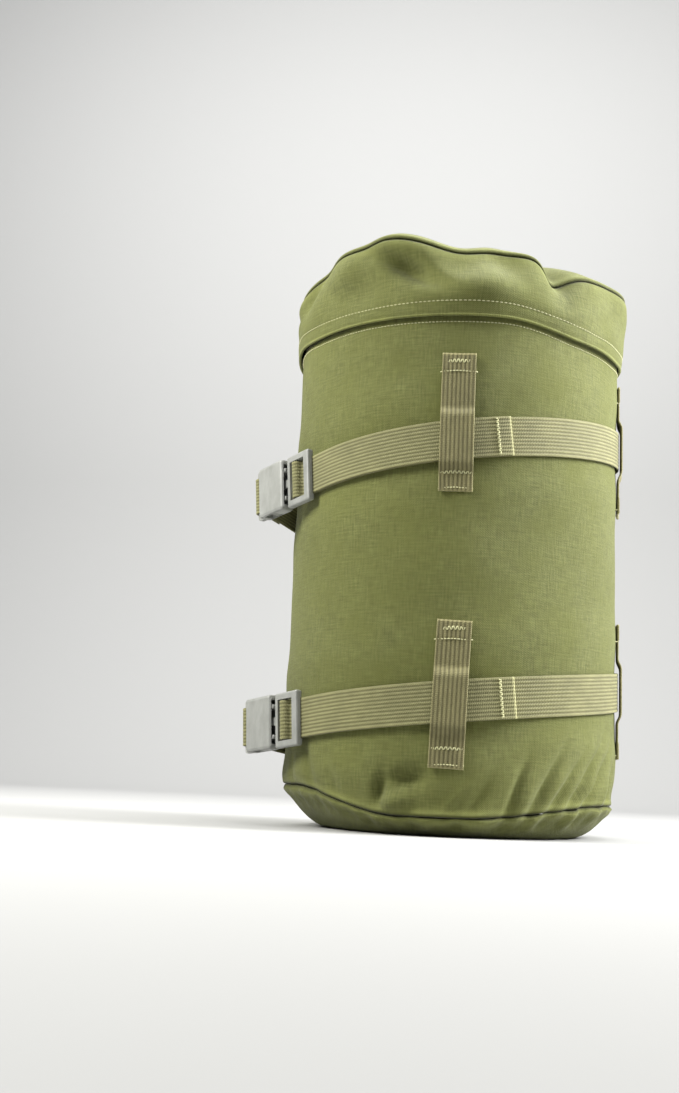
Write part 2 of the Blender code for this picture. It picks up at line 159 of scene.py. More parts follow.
def grid_faces(rows, columns, ring=False):
    r, c = np.meshgrid(np.arange(rows - 1), np.arange(columns if ring else columns - 1), indexing="ij")
    right = (c + 1) % columns
    low, high = r * columns, (r + 1) * columns
    quads = np.stack((low + c, low + right, high + right, high + c), -1)
    return quads.reshape(-1, 4).tolist()


def grid_piece(name, points, uv, fields=None, ring=False, cap=None, thickness=CLOTH_T):
    """A sheet of cloth through a grid of points, given its thickness inwards."""
    rows, columns = points.shape[:2]
    faces = grid_faces(rows, columns, ring)
    if cap == "first":
        faces.append(list(range(columns))[::-1])
    if cap == "last":
        faces.append(list(range((rows - 1) * columns, rows * columns)))
    fields = {key: np.broadcast_to(value, points.shape[:2]).ravel() for key, value in (fields or {}).items()}
    obj = add_piece(name, points.reshape(-1, 3), faces, uv.reshape(-1, 2), fields)
    if thickness:
        solidify = obj.modifiers.new("thickness", "SOLIDIFY")
        solidify.thickness = thickness
        solidify.offset = -1
    return obj


# Materials

class Shader:
    """A Principled material and short ways to add nodes to it."""

    def __init__(self, name, roughness, **constants):
        self.material = bpy.data.materials.new(name)
        self.material.use_nodes = True
        self.tree = self.material.node_tree
        self.principled = self.tree.nodes["Principled BSDF"]
        self.principled.inputs["Roughness"].default_value = roughness
        for socket, value in constants.items():
            self.principled.inputs[socket.replace("_", " ")].default_value = value

    def node(self, kind, inputs=(), **settings):
        node = self.tree.nodes.new(kind)
        for key, value in settings.items():
            setattr(node, key, value)
        for key, value in dict(inputs).items():
            if isinstance(value, bpy.types.NodeSocket):
                self.tree.links.new(value, node.inputs[key])
            else:
                node.inputs[key].default_value = value
        return node

    def math(self, operation, first, second=0.0):
        return self.node("ShaderNodeMath", {0: first, 1: second}, operation=operation).outputs[0]

    def flat_map(self, stretch=(1, 1, 1)):
        uv = self.node("ShaderNodeUVMap", uv_map="flat").outputs[0]
        return self.node("ShaderNodeMapping", {"Vector": uv, "Scale": stretch}).outputs[0]

    def place(self, stretch=(1, 1, 1)):
        position = self.node("ShaderNodeTexCoord").outputs["Object"]
        return self.node("ShaderNodeMapping", {"Vector": position, "Scale": stretch}).outputs[0]

    def noise(self, vector, scale, detail=3.0, roughness=0.55):
        inputs = {"Vector": vector, "Scale": scale, "Detail": detail, "Roughness": roughness}
        return self.node("ShaderNodeTexNoise", inputs).outputs["Fac"]

    def field(self, name):
        return self.node("ShaderNodeAttribute", attribute_name=name).outputs["Fac"]

    def remap(self, value, low, high, to_low=0.0, to_high=1.0):
        inputs = {"Value": value, "From Min": low, "From Max": high, "To Min": to_low, "To Max": to_high}
        return self.node("ShaderNodeMapRange", inputs).outputs[0]

    def mix(self, share, first, second, blend="MIX"):
        node = self.node("ShaderNodeMix", data_type="RGBA", blend_type=blend)
        for index, value in ((0, share), (6, first), (7, second)):
            if isinstance(value, bpy.types.NodeSocket):
                self.tree.links.new(value, node.inputs[index])
            else:
                node.inputs[index].default_value = (*value, 1) if index > 0 else value
        return node.outputs[2]

    def shaded(self, colour, shade):
        """The colour made darker or lighter by a grey factor."""
        grey = self.node("ShaderNodeCombineColor", {0: shade, 1: shade, 2: shade}).outputs[0]
        return self.mix(1.0, colour, grey, "MULTIPLY")

    def bump(self, height, distance, strength=1.0, normal=None):
        inputs = {"Height": height, "Distance": distance, "Strength": strength}
        if normal:
            inputs["Normal"] = normal
        return self.node("ShaderNodeBump", inputs).outputs[0]

    def use(self, **sockets):
        for name, value in sockets.items():
            self.tree.links.new(value, self.principled.inputs[name.replace("_", " ")])


def thread_grid(shader, pitch):
    """Height of a plain weave: thread crowns that alternate along and across."""
    split = shader.node("ShaderNodeSeparateXYZ", {0: shader.flat_map()})
    turns = 2 * math.pi / pitch
    waves = [shader.math("SINE", shader.math("MULTIPLY", split.outputs[i], turns)) for i in (0, 1)]
    return shader.math("MULTIPLY", *waves)


def cloth_material(name, dark, base, light, pitch=0.0011):
    """Matte textured nylon: uneven threads both ways, soft mottling, worn edges, painted shade in the
    creases.
    """
    s = Shader(name, 0.82, Sheen_Weight=0.10, Sheen_Roughness=0.45, Specular_IOR_Level=0.25)
    weft = s.noise(s.flat_map((90, 900, 1)), 1.0, 4, 0.6)
    warp = s.noise(s.flat_map((900, 90, 1)), 1.0, 4, 0.6)
    cloud = s.noise(s.place(), 34.0, 4, 0.6)
    blotch = s.noise(s.place(), 9.0, 2, 0.5)
    threads = s.math("ADD", weft, warp)
    fine = s.remap(threads, 0.72, 1.28)
    colour = s.mix(fine, dark, light)
    colour = s.mix(s.remap(cloud, 0.3, 0.7, 0.15, 0.75), colour, base)
    shade = s.remap(blotch, 0.3, 0.7, 0.90, 1.10)
    colour = s.shaded(colour, shade)
    worn = s.math("MULTIPLY", s.field("wear"), s.remap(cloud, 0.35, 0.65, 0.25, 0.9))
    colour = s.mix(worn, colour, tuple(min(1, c * 1.55) for c in light))
    # Painted shade: darker where the mesh's shade values mark seams, creases, the hem's inside and the base's
    # middle.
    colour = s.mix(s.math("MULTIPLY", s.field("painted_shade"), 0.75), colour, tuple(c * 0.35 for c in dark))
    weave = s.bump(thread_grid(s, pitch), 0.00016, 0.8)
    slub = s.bump(threads, 0.0004, 0.5, weave)
    s.use(Base_Color=colour, Normal=slub, Roughness=s.remap(cloud, 0.3, 0.7, 0.76, 0.90))
    return s.material


def webbing_material(name, dark, light, rib):
    """Ribbed webbing: fine cross threads on each rib, painted shade in the grooves, a paler selvage."""
    s = Shader(name, 0.7, Sheen_Weight=0.12, Sheen_Roughness=0.35, Specular_IOR_Level=0.35)
    split = s.node("ShaderNodeSeparateXYZ", {0: s.flat_map()})
    along, across = split.outputs[0], split.outputs[1]
    ribs = s.math("COSINE", s.math("MULTIPLY", across, 2 * math.pi / rib))
    slant = s.math("ADD", s.math("MULTIPLY", along, 2 * math.pi / 0.0011), s.math("MULTIPLY", ribs, 1.2))
    picks = s.math("SINE", slant)
    uneven = s.noise(s.flat_map((120, 700, 1)), 1.0, 4, 0.6)
    cloud = s.noise(s.place(), 60.0, 3, 0.6)
    # Painted shade: the grooves between ribs are coloured darker than the crowns, with some random
    # unevenness.
    crown = s.remap(ribs, -1.0, 0.7)
    colour = s.mix(s.math("MULTIPLY", crown, s.remap(uneven, 0.3, 0.7, 0.55, 1.0)), dark, light)
    shade = s.remap(cloud, 0.3, 0.7, 0.88, 1.10)
    colour = s.shaded(colour, shade)
    colour = s.mix(s.math("MULTIPLY", s.field("wear"), 0.8), colour, tuple(min(1, c * 1.7) for c in light))
    # Painted shade, darker where the mesh's shade values ask for it.
    colour = s.mix(s.math("MULTIPLY", s.field("painted_shade"), 0.8), colour, tuple(c * 0.3 for c in dark))
    normal = s.bump(picks, 0.00012, 0.7, s.bump(uneven, 0.0003, 0.5))
    s.use(Base_Color=colour, Normal=normal)
    return s.material


def thread_material(name, colour):
    s = Shader(name, 0.55, Sheen_Weight=0.3, Sheen_Roughness=0.3, Specular_IOR_Level=0.4)
    twist = s.noise(s.place(), 900.0, 2, 0.5)
    s.use(
        Base_Color=s.mix(s.remap(twist, 0.3, 0.7), tuple(c * 0.62 for c in colour), colour),
        Normal=s.bump(twist, 0.0002, 0.6),
    )
    return s.material


def plastic_material(name, dark, light):
    """Moulded acetal: fine spark grain, faint flow streaks, edges rubbed pale."""
    s = Shader(name, 0.42, Specular_IOR_Level=0.45)
    grain = s.noise(s.place(), 2600.0, 2, 0.5)
    flow = s.noise(s.place((40, 160, 60)), 1.0, 3, 0.6)
    edge = s.node("ShaderNodeNewGeometry").outputs["Pointiness"]
    colour = s.mix(s.remap(flow, 0.3, 0.7), dark, light)
    colour = s.mix(s.remap(edge, 0.54, 0.66, 0.0, 0.55), colour, tuple(min(1, c * 1.5) for c in light))
    s.use(
        Base_Color=colour,
        Roughness=s.remap(s.noise(s.place(), 300.0), 0.3, 0.7, 0.34, 0.52),
        Normal=s.bump(grain, 0.00006, 0.5),
    )
    return s.material


def metal_material(name, colour):
    s = Shader(name, 0.4, Metallic=0.85)
    rub = s.noise(s.place(), 420.0, 4, 0.6)
    s.use(
        Base_Color=s.mix(s.remap(rub, 0.35, 0.65), tuple(c * 0.6 for c in colour), colour),
        Roughness=s.remap(rub, 0.3, 0.7, 0.28, 0.5),
        Normal=s.bump(rub, 0.00005, 0.4),
    )
    return s.material


NYLON = cloth_material(
    "olive_nylon", (0.072, 0.079, 0.018), (0.115, 0.124, 0.031), (0.174, 0.186, 0.058),
)
TAPE = cloth_material(
    "binding_tape", (0.070, 0.074, 0.028), (0.105, 0.108, 0.044), (0.150, 0.150, 0.070), pitch=0.0008,
)
STRAP_WEB = webbing_material(
    "strap_webbing", (0.112, 0.107, 0.042), (0.250, 0.242, 0.112), STRAP_WIDTH / STRAP_RIBS,
)
KEEPER_WEB = webbing_material(
    "keeper_webbing", (0.095, 0.086, 0.034), (0.220, 0.202, 0.092), KEEPER_WIDTH / KEEPER_RIBS,
)
THREAD = thread_material("pale_thread", (0.600, 0.590, 0.320))
PLASTIC = plastic_material("buckle_acetal", (0.215, 0.220, 0.205), (0.290, 0.295, 0.280))
COIL = thread_material("zip_teeth_nylon", (0.120, 0.112, 0.055))
BRONZE = metal_material("dull_bronze", (0.240, 0.205, 0.130))


def finish_piece(obj, material, body, slot, nodes=()):
    obj.data.materials.clear()
    obj.data.materials.append(material)
    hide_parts(*nodes)
    if body:
        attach(obj, body)
    return obj


# Sack body

PUCKERS = [  # azimuth at the seam, lean, height, width and depth, in degrees and metres
    (19, 0.35, 0.030, 0.0032, -0.0032), (23, 0.50, 0.020, 0.0028, 0.0014),
    (27, 0.60, 0.032, 0.0032, -0.0036), (31, 0.70, 0.020, 0.0030, 0.0018),
    (35, 0.75, 0.026, 0.0034, -0.0034), (42, 0.90, 0.032, 0.0034, -0.0040),
    (46, 0.95, 0.020, 0.0030, 0.0020), (51, 0.90, 0.030, 0.0036, -0.0040),
    (60, 0.60, 0.020, 0.0040, 0.0020), (68, 0.45, 0.026, 0.0042, -0.0032),
    (76, 0.30, 0.020, 0.0045, -0.0018), (6, 0.60, 0.024, 0.0045, -0.0018),
    (-3, 0.90, 0.020, 0.0034, 0.0014), (-38, -0.35, 0.018, 0.0050, -0.0012),
    (-50, -0.35, 0.020, 0.0050, -0.0018), (-64, -0.20, 0.018, 0.0045, -0.0018),
    (-88, 0.30, 0.022, 0.0055, -0.0018), (-104, -0.20, 0.018, 0.0050, -0.0014),
    (92, -0.30, 0.020, 0.0050, -0.0018), (108, 0.30, 0.022, 0.0050, -0.0016),
    (122, -0.20, 0.018, 0.0050, -0.0014),
]


def body_lift(azimuth, z):
    """How far the drum's cloth stands off its nominal radius."""
    s = azimuth * RADIUS
    lift = 0.0005 * ripple(s, z * 0.8, 0.075, 3) - 0.0003
    for front_z, rise, _ in STRAPS.values():
        strap_z = front_z + rise * s
        lift = lift + 0.0009 * bell(np.abs(z - strap_z) - 0.034, 0.014) - 0.0006 * bell(z - strap_z, 0.017)
    up = z - base_seam_z(azimuth)
    free = ease(up / 0.006)
    lift = lift - 0.0022 * bell(up, 0.010) * (0.6 + 0.4 * ripple(s, up, 0.030, 8))
    for start, lean, height, width, depth in PUCKERS:
        line = s - math.radians(start) * RADIUS - lean * up
        lift = lift + depth * bell(line, width) * bell(up - height * 0.45, height * 0.62)
    hollow = bell(s + 0.0245 - 0.35 * (up - 0.021), 0.0120) * bell(up - 0.0215, 0.0065)
    knuckle = bell(s + 0.0315 - 0.4 * (up - 0.008), 0.0085) * bell(up - 0.0085, 0.0070)
    crease = bell(s + 0.0440 - 0.15 * up, 0.0036) * bell(up - 0.0125, 0.0105)
    lift = lift + free * (-0.0085 * hollow + 0.0060 * knuckle - 0.0058 * crease)
    lift = lift + 0.0006 * ripple(s * 0.5, z, 0.024, 12) * bell(up, 0.060) * free
    under_strap = sum(bell(z - f - r * s, 0.015) for f, r, _ in STRAPS.values())
    return np.where(lift > 0, lift * (1 - 0.8 * np.clip(under_strap, 0, 1)), lift)


def base_seam_z(azimuth):
    """The bottom seam's height, which rises from the front towards both sides."""
    degrees = np.degrees(azimuth)
    behind = ease((118 - np.abs(degrees)) / 25)
    left, right = 0.0155 * ease((-degrees - 15) / 48), 0.0100 * ease((degrees - 2) / 62)
    return SEAM_Z + (left + right - 0.0018) * behind


def body_top(azimuth):
    """The cloth's upper edge: below the zip, and up behind the flap past the zip's ends."""
    past_zip = (np.abs(azimuth) - ZIP_END_AZ) / math.radians(2) - 0.9
    return ZIP_Z - 0.0055 + 0.0103 * ease(past_zip)


def make_front():
    side = CORNER_AZ * RADIUS
    s = levels(-side, side, 0.0022)[None, :]
    share = (levels(SEAM_Z, ZIP_Z, 0.0021) - SEAM_Z)[:, None] / (ZIP_Z - SEAM_Z)
    azimuth = s / RADIUS
    bottom = base_seam_z(azimuth)
    z = bottom + share * (body_top(azimuth) - bottom)
    from_seam, from_side = z - bottom, side - np.abs(s)
    lift = body_lift(azimuth, z) + seam_roll(from_seam) + seam_roll(from_side)
    # Painted shade along the bottom seam and both side seams.
    fields = {
        "wear": 0.5 * bell(from_seam - 0.0026, 0.0016) + 0.4 * bell(from_side - 0.003, 0.002),
        "painted_shade": bell(from_seam, 0.0014) + 0.6 * bell(from_side, 0.0012),
    }
    uv = np.stack(np.broadcast_arrays(s, z), -1)
    piece = grid_piece("front_cloth", drum(azimuth, z, lift), uv, fields)
    finish_piece(piece, NYLON, "sack", "nylon_fabric", ["front_panel"])


def inner_binding(name, end_az, heights, lift, body, node):
    """A tape inside the cloth that follows it. heights(azimuth) gives its two edges."""
    azimuth = np.linspace(-end_az, end_az, 190)[None, :]
    low, high = heights(azimuth)
    z = low + np.linspace(0, 1, 9)[:, None] * (high - low)
    uv = np.stack(np.broadcast_arrays(azimuth * RADIUS, z), -1)
    rim = np.minimum(z - low, high - z)
    points = drum(azimuth, z, lift(azimuth, z) - 0.0014)
    piece = grid_piece(name, points, uv, {"wear": 0.5 * bell(rim, 0.001)})
    finish_piece(piece, TAPE, body, "binding_tape", [node])


def make_inner_bindings():
    def base_edges(azimuth):
        seam = base_seam_z(azimuth)
        return seam + 0.002, seam + 0.012

    def lid_edges(azimuth):
        seam = lid_seam_z(azimuth)
        return seam - 0.011, seam - 0.002

    def lid_lift(azimuth, z):
        hem, seam = hem_z(azimuth), lid_seam_z(azimuth)
        return skirt_lift(azimuth, (z - hem) / (seam - hem))

    end_az = CORNER_AZ - math.radians(6)
    inner_binding("base_seam_tape", end_az, base_edges, body_lift, "sack", "base_seam_binding")
    inner_binding("lid_seam_tape", end_az, lid_edges, lid_lift, "lid", "lid_seam_binding")


def flat_panel(name, low_z, high_z, seed, bottom_seam, top_seam):
    """A flat back panel between the side seams, faintly uneven. It faces +Y."""
    half = RADIUS * math.sin(CORNER_AZ) - 0.0006
    x = levels(-half, half, 0.003)[::-1][None, :]
    z = levels(low_z, high_z, 0.003, edge=min(0.004, (high_z - low_z) / 4))[:, None]
    rim = half - np.abs(x)
    out = seam_roll(rim) + 0.0009 * (ripple(x, z, 0.075, seed) - 0.8) * ease(rim / 0.02)
    out = out + 0.0012 * bell(x, 0.05) * ease(rim / 0.03)
    out = np.minimum(out, 0) + np.maximum(out, 0) * ease(np.minimum(z - low_z, high_z - z) / 0.02)
    out = out + (seam_roll(z - low_z) if bottom_seam else 0) + (seam_roll(high_z - z) if top_seam else 0)
    points = np.stack(np.broadcast_arrays(x, BACK_Y + out, z), -1)
    # Painted shade along the side seams.
    fields = {"wear": 0.4 * bell(rim - 0.003, 0.002), "painted_shade": 0.7 * bell(rim, 0.0012)}
    return grid_piece(name, points, np.stack(np.broadcast_arrays(x, z), -1), fields)


def d_outline(inset, count=260):
    """The drum's D-shaped section moved in by inset: points and their directions out."""
    radius, back = RADIUS - inset, BACK_Y - inset
    corner = math.acos(-back / radius)
    arc_count = int(count * 0.78)
    azimuth = np.linspace(-corner, corner, arc_count)
    arc = np.stack((radius * np.sin(azimuth), -radius * np.cos(azimuth)), -1)
    share = np.linspace(0, 1, count - arc_count + 2)[1:-1, None]
    back_line = arc[-1] * (1 - share) + arc[0] * share
    outward = np.concatenate((unit(arc), np.tile((0.0, 1.0), (len(back_line), 1))))
    return np.concatenate((arc, back_line)), outward


def disc_panel(name, insets, height, lean=None, cap=None, fields=None):
    """A D-shaped panel made of rings. height and lean give z and the push outwards at (inset, x, y)."""
    rings, flats = [], []
    for inset in insets:
        outline, outward = d_outline(inset)
        x, y = outline[:, 0], outline[:, 1]
        push = lean(inset, x, y)[:, None] if lean else 0
        moved = outline + outward * push
        rings.append(np.column_stack((moved, height(inset, x, y))))
        flats.append(outline)
    points, uv = np.array(rings), np.array(flats)
    values = {key: field(np.array(insets)[:, None], uv[..., 0], uv[..., 1]) for key, field in fields.items()}
    return grid_piece(name, points, uv, values, ring=True, cap=cap)


def make_base():
    """The base, which bulges below its seam to the patch the sack stands on."""
    def height(inset, x, y):
        azimuth = np.arctan2(x, -y)
        s = azimuth * RADIUS
        rim = base_seam_z(azimuth) - 0.0003
        reach = 0.022 + 0.6 * (rim - SEAM_Z)
        bulge = rim * (1 - np.clip(inset / reach, 0, 1)) ** 1.7
        pucker = 0.0011 * ripple(s, 0 * s, 0.017, 31) * bell(inset - 0.006, 0.005)
        return np.maximum(bulge + pucker * ease(bulge / 0.004), 0.0)

    def lean(inset, x, y):
        azimuth = np.arctan2(x, -y)
        s = azimuth * RADIUS
        fold = 0.0008 * ripple(s, 0 * s, 0.013, 33) * bell(inset - 0.005, 0.005)
        puff = 0.0016 * bell(inset - 0.0030, 0.0026)
        round_front = ease((CORNER_AZ - np.abs(azimuth)) / 0.10)
        rim = body_lift(azimuth, base_seam_z(azimuth)) * round_front * (1 - ease(inset / 0.016))
        return rim + seam_roll(inset, 0.0016, 0.0022) + (fold + puff) * ease(inset / 0.002) - 0.0002

    insets = np.concatenate((
        np.linspace(0.036, 0.010, 20), np.linspace(0.0094, 0.0024, 12), np.arange(0.0020, -0.0001, -0.0004),
    ))
    # Painted shade at the seam, and a little more towards the middle underneath.
    fields = {
        "wear": lambda i, x, y: 0.35 * bell(i - 0.0035, 0.002) + 0.25 * bell(i - 0.024, 0.006),
        "painted_shade": lambda i, x, y: bell(i, 0.0010) + 0.15 * ease(i / 0.02),
    }
    piece = disc_panel("base_cloth", insets, height, lean, "first", fields)
    finish_piece(piece, NYLON, "sack", "nylon_fabric", ["base_panel"])


# Lid

def lid_seam_z(azimuth):
    """The lid's seam line: a hump at the front left, a sharp dip at the right, lower at both sides."""
    degrees = np.degrees(azimuth)
    behind = ease((np.abs(degrees) - 92) / 24)
    line = (
        -0.0034
        + 0.0080 * bell(degrees + 25, 14) + 0.0046 * bell(degrees + 47, 13)
        - 0.0060 * bell(degrees + 82, 13) + 0.0012 * bell(degrees - 10, 6)
        - 0.0105 * bell(degrees - 35, 6.5) - 0.0060 * bell(degrees - 45, 13)
        - 0.0040 * bell(degrees - 76, 22)
        + 0.0005 * ripple(azimuth * RADIUS, 0, 0.05, 41)
    )
    return LID_SEAM_Z + line * (1 - behind) - 0.0006 * behind


def skirt_lift(azimuth, share):
    """How far the lid's side stands off the drum, from the hem (share 0) to the seam (share 1)."""
    degrees = np.degrees(azimuth)
    loose = ease((110 - np.abs(degrees)) / 25)
    uneven = 1 + 0.3 * ripple(azimuth * RADIUS, share * 0.04, 0.05, 43)
    belly = 0.0024 * np.sin(np.clip(share, 0, 1) * math.pi) * uneven
    shape = (
        0.0062 * bell(degrees + 23, 14) * bell(share - 0.92, 0.26)
        - 0.0105 * bell(degrees + 13 + 40 * (share - 0.52), 6) * bell(share - 0.66, 0.24)
        + 0.0052 * bell(degrees - 8, 13) * bell(share - 0.36, 0.24)
        - 0.0095 * bell(degrees - 9, 15) * ease((share - 0.30) / 0.70)
        - 0.0095 * bell(degrees - 36, 6.5) * bell(share - 1.02, 0.26)
        + 0.0022 * bell(degrees - 48, 7) * bell(share - 0.80, 0.25)
        + 0.0062 * bell(degrees - 72, 13) * bell(share - 1.0, 0.34)
        - 0.0036 * bell(degrees - 60 - 26 * (share - 0.5), 6) * bell(share - 0.45, 0.26)
        + 0.0016 * ripple(azimuth * RADIUS - 0.02 * share, share * 0.03, 0.026, 45) * bell(share - 0.7, 0.3)
        - 0.0046 * bell(degrees + 60 - 20 * (share - 0.9), 7) * bell(share - 0.92, 0.26)
        + 0.0026 * bell(degrees + 76, 9) * bell(share - 0.80, 0.28)
        - 0.0022 * bell(degrees + 44 + 40 * (share - 0.5), 9) * bell(share - 0.45, 0.20)
    )
    return FLAP_LIFT - 0.0010 * share + belly + shape * loose


def hem_z(azimuth):
    """The flap's lower edge. It droops a little at the front right, and rises past the zip's ends."""
    degrees = np.degrees(azimuth)
    past_flap = (np.abs(azimuth) - FLAP_END_AZ) / math.radians(4)
    droop = 0.0010 - 0.0056 * ease((degrees - 14) / 30) * ease((96 - degrees) / 30)
    edge = FLAP_EDGE_Z + droop + 0.0030 * bell(degrees + 76, 14)
    return edge + (ZIP_Z + 0.0040 - edge) * ease(past_flap)


def lid_edge(azimuth):
    """Radius offset and height of the lid's seam."""
    return skirt_lift(azimuth, 1.0), lid_seam_z(azimuth)


def make_skirt():
    side = (CORNER_AZ - math.radians(0.6)) * RADIUS
    s = levels(-side, side, 0.0018)[None, :]
    azimuth = s / RADIUS
    hem, seam = hem_z(azimuth), lid_seam_z(azimuth)
    share = levels(0, 1, 0.045, fine=0.012, edge=0.09)[:, None]
    z = hem + share * (seam - hem)
    from_side, from_top, up = side - np.abs(s), seam - z, z - hem
    lift = skirt_lift(azimuth, share) + seam_roll(from_top, 0.0018, 0.0026) + seam_roll(from_side)
    lift = lift - 0.00045 * bell(up - TOPSTITCH_UP, 0.0009) + 0.0002 * bell(up - 0.003, 0.002)
    outer = drum(azimuth, z, lift)
    turn = np.linspace(math.pi, 0, 7)[:, None]
    edge_lift = lift[:1] - 0.00055
    fold_lift = edge_lift - 0.00055 * np.cos(turn)
    fold = drum(azimuth, hem - 0.00055 * np.sin(turn), fold_lift)
    inner_up = np.linspace(0.0080, 0.0006, 6)[:, None]
    inside = drum(azimuth, hem + inner_up, edge_lift - 0.00055 + 0 * inner_up)
    points = np.concatenate((inside, fold[:-1], outer))
    flat_z = np.concatenate((hem - inner_up, np.broadcast_to(hem, (6, s.shape[1])), z))
    none_inside, none_fold = 0 * inside[..., 0], 0 * fold[:-1, :, 0]
    wear = 0.45 * bell(up, 0.0010) + 0.35 * bell(from_top - 0.003, 0.002)
    # Painted shade at the lid seam and along the topstitch.
    painted_shade = bell(from_top, 0.0012) + 0.25 * bell(up - TOPSTITCH_UP, 0.0009)
    # The hem's hidden inside gets painted shade, and its fold gets wear.
    fields = {
        "wear": np.concatenate((none_inside, none_fold + 0.45, wear)),
        "painted_shade": np.concatenate((none_inside + 0.5, none_fold, painted_shade)),
    }
    uv = np.stack(np.broadcast_arrays(s, flat_z), -1)
    piece = grid_piece("lid_skirt_cloth", points, uv, fields, thickness=0.0006)
    finish_piece(piece, NYLON, "lid", "nylon_fabric", ["lid_skirt"])


def make_lid_top():
    rise = TOP_Z - LID_SEAM_Z - 0.0008

    def seam_of(x, y):
        azimuth = np.arctan2(x, -y)
        lift, seam = lid_edge(azimuth)
        flat = ease((np.abs(azimuth) - CORNER_AZ + 0.12) / 0.14)
        return lift * (1 - flat) + 0.0002 * flat, seam * (1 - flat) + (LID_SEAM_Z - 0.0006) * flat

    def height(inset, x, y):
        _, seam = seam_of(x, y)
        towards = ease(inset / 0.050) * 0.30 + 0.70 * (1 - np.exp(-inset / 0.0050))
        middle = ease(inset / 0.045)
        soft = ease(inset / 0.012)
        hump = 0.0030 * bell(x + 0.035, 0.034) * bell(y + 0.050, 0.040)
        valley = -0.0040 * bell(x - 0.030 + 0.3 * (y + 0.05), 0.020) * bell(y + 0.040, 0.050)
        relief = (hump + valley + 0.0008 * ripple(x, y, 0.05, 47)) * soft
        return seam * (1 - middle) + LID_SEAM_Z * middle + rise * towards + relief + 0.0002

    def lean(inset, x, y):
        push, _ = seam_of(x, y)
        fade = 1 - ease(inset / 0.040)
        return push * fade + seam_roll(inset, 0.0018, 0.0026) + 0.0010 * bell(inset - 0.0022, 0.0020)

    insets = np.concatenate((
        np.arange(0, 0.0028, 0.0004), np.linspace(0.0030, 0.012, 12), np.linspace(0.0135, 0.064, 26),
    ))
    # Painted shade at the seam.
    fields = {
        "wear": lambda i, x, y: 0.4 * bell(i - 0.003, 0.002),
        "painted_shade": lambda i, x, y: bell(i, 0.0011),
    }
    piece = disc_panel("lid_top_cloth", insets, height, lean, "last", fields)
    finish_piece(piece, NYLON, "lid", "nylon_fabric", ["lid_top_panel"])


def make_hinge():
    """Inner hinge tape and outer binding, which span the zip line at the back, between the sack and the lid.
    """
    for name, y, reach, half, nodes in (
        ("hinge_tape_cloth", BACK_Y - 0.0019, 0.012, 0.062, ["lid_hinge_tape"]),
        ("hinge_binding", BACK_Y + 0.0009, 0.0065, 0.0735, []),
    ):
        x = levels(-half, half, 0.004, fine=0.0008, edge=0.002)[::-1][None, :]
        z = np.linspace(ZIP_Z - reach, ZIP_Z + reach, 33)[:, None]
        rim = np.minimum(half - np.abs(x), reach - np.abs(z - ZIP_Z))
        out = seam_roll(rim, 0.0006, 0.0012) + 0.0002 * ripple(x, z, 0.02, 51)
        points = np.stack(np.broadcast_arrays(x, y + out, z), -1)
        uv = np.stack(np.broadcast_arrays(x, z), -1)
        piece = grid_piece(name, points, uv, {"wear": 0.5 * bell(rim, 0.001)}, thickness=0.0006)
        material, slot = (TAPE, "binding_tape") if nodes else (NYLON, "nylon_fabric")
        finish_piece(piece, material, None, slot, nodes)
        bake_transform(piece)


# Webbing

def strap_station(strap, azimuth, lift):
    front_z, rise, _ = STRAPS[strap]
    tilt = math.atan(rise)
    centre = drum(azimuth, front_z + rise * RADIUS * azimuth, lift)
    return centre, UP * math.cos(tilt) - around(azimuth) * math.sin(tilt)


def buckle_axes(strap):
    """Origin and the unit axes u, v, w of a strap's buckle, which hangs off the drum's left side."""
    centre, across = strap_station(strap, LEAVE_AZ, PLANE_LIFT)
    outward = drum(LEAVE_AZ, 0.0, 1.0 - RADIUS)
    along = np.cross(across, outward)
    return centre - along * RUN, along, across, outward


def buckle_point(strap, u, w):
    centre, along, across, outward = buckle_axes(strap)
    return centre + along * u + outward * w, across


def loop_points(bar_u, radius, first, last, count=9):
    angles = np.radians(np.linspace(first, last, count))
    return [(bar_u + radius * math.cos(a), radius * math.sin(a)) for a in angles]


def smooth_path(stations, step):
    """Resamples stations (points and directions across) on a Catmull-Rom curve at even steps."""
    points, across = (np.array(part) for part in zip(*stations))
    values = np.hstack((points, across))
    padded = np.vstack((2 * values[0] - values[1], values, 2 * values[-1] - values[-2]))
    dense = []
    for p0, p1, p2, p3 in zip(padded, padded[1:], padded[2:], padded[3:]):
        for t in np.linspace(0, 1, 12, endpoint=False):
            dense.append(0.5 * (2 * p1 + (p2 - p0) * t + (2 * p0 - 5 * p1 + 4 * p2 - p3) * t**2
                                + (3 * p1 - p0 - 3 * p2 + p3) * t**3))
    dense.append(values[-1])
    dense = np.array(dense)
    length = np.concatenate(([0], np.cumsum(np.linalg.norm(np.diff(dense[:, :3], axis=0), axis=1))))
    count = int(length[-1] / step) + 1
    at = np.linspace(0, length[-1], count)
    even = np.column_stack([np.interp(at, length, dense[:, i]) for i in range(6)])
    return even[:, :3], unit(even[:, 3:]), at


def web_section(width, thickness, ribs, bow):
    """A closed cross-section of ribbed webbing as (across, out), with round selvages."""
    v = np.linspace(-width / 2 + SELVAGE, width / 2 - SELVAGE, ribs * 6 + 1)
    rib = 0.00011 * (np.cos(2 * math.pi * v / (width / ribs)) - 1)
    top = thickness / 2 + rib
    angle = np.linspace(math.pi / 2, -math.pi / 2, 7)[1:-1]
    right = np.column_stack((width / 2 - SELVAGE + SELVAGE * np.cos(angle), (thickness / 2) * np.sin(angle)))
    upper, lower = np.column_stack((v, top)), np.column_stack((v[::-1], -top[::-1]))
    left = np.column_stack((-right[:, 0], -right[:, 1]))
    section = np.concatenate((upper, right, lower, left))
    section[:, 1] -= bow * section[:, 0] ** 2
    return section


